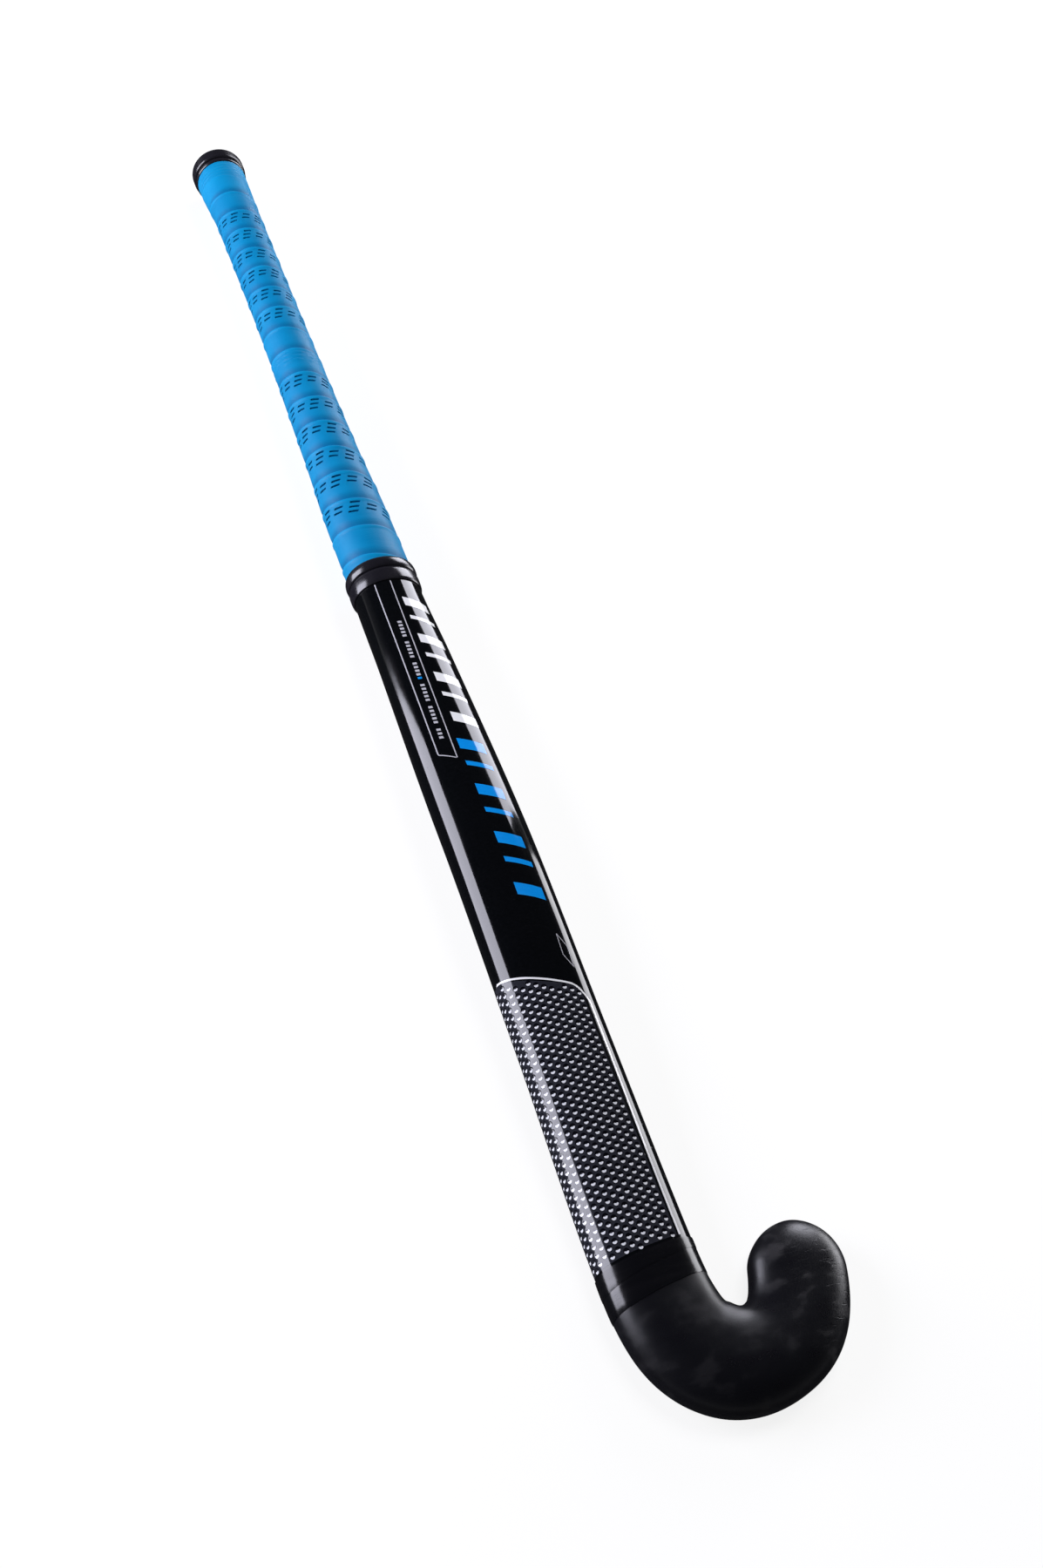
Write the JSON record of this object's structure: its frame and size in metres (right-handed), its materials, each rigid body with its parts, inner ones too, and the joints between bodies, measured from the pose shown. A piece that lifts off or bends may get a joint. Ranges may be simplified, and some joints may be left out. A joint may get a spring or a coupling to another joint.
{
  "type": "field hockey stick",
  "caption": "Full-size composite field hockey stick with a hooked matte head, glossy bowed shaft and a wrapped perforated grip.",
  "frame": {"origin": "under the middle of the bounding box, on the plane that the stick rests on when it lies on its flat playing face", "axes": "+Y up the stick from the head to the end cap, +X towards the toe of the hook, +Z out of the rounded back"},
  "size_m": [0.1134, 0.9268, 0.0374],
  "materials": {
    "gloss_lacquer": "clear-lacquered black composite",
    "laminate": "bare carbon and glass fibre laminate",
    "head_skin": "satin matte black, lightly scuffed",
    "neck_tape": "satin black film",
    "foam": "rigid polyurethane foam",
    "cushion": "soft foam rubber",
    "grip_tape": "soft-touch blue polyurethane, perforated",
    "moulded_rubber": "glossy black moulded rubber",
    "ink_silver": "silver-grey print under lacquer",
    "ink_white": "white print under lacquer",
    "ink_blue": "blue print under lacquer",
    "ink_panel": "black print with a silver dot pattern under lacquer"
  },
  "bodies": {
    "root": {"shaft_tube": "gloss_lacquer", "shaft_rib": "laminate", "handle_foam": "foam", "head_sleeve": "head_skin", "head_core": "laminate", "neck_tape_lower": "neck_tape", "neck_tape_upper": "neck_tape", "grip_underlay": "cushion", "grip_wrap": "grip_tape", "collar_band": "moulded_rubber", "collar_bead": "moulded_rubber", "end_cap": "moulded_rubber", "cap_lip": "moulded_rubber", "panel_film": "ink_panel", "panel_border": "ink_white", "frame_line_outer": "ink_silver", "frame_line_inner": "ink_silver", "frame_line_end": "ink_silver", "mark_lozenge": "ink_silver", "white_bar_1": "ink_white", "blue_bar_1": "ink_blue", "white_bar_2": "ink_white", "blue_bar_2": "ink_blue", "white_bar_3": "ink_white", "blue_bar_3": "ink_blue", "white_bar_4": "ink_white", "blue_bar_4": "ink_blue", "white_bar_5": "ink_white", "blue_bar_5": "ink_blue", "white_bar_6": "ink_white", "blue_bar_6": "ink_blue", "white_bar_7": "ink_white", "blue_bar_7": "ink_blue"}
  },
  "joints": []
}
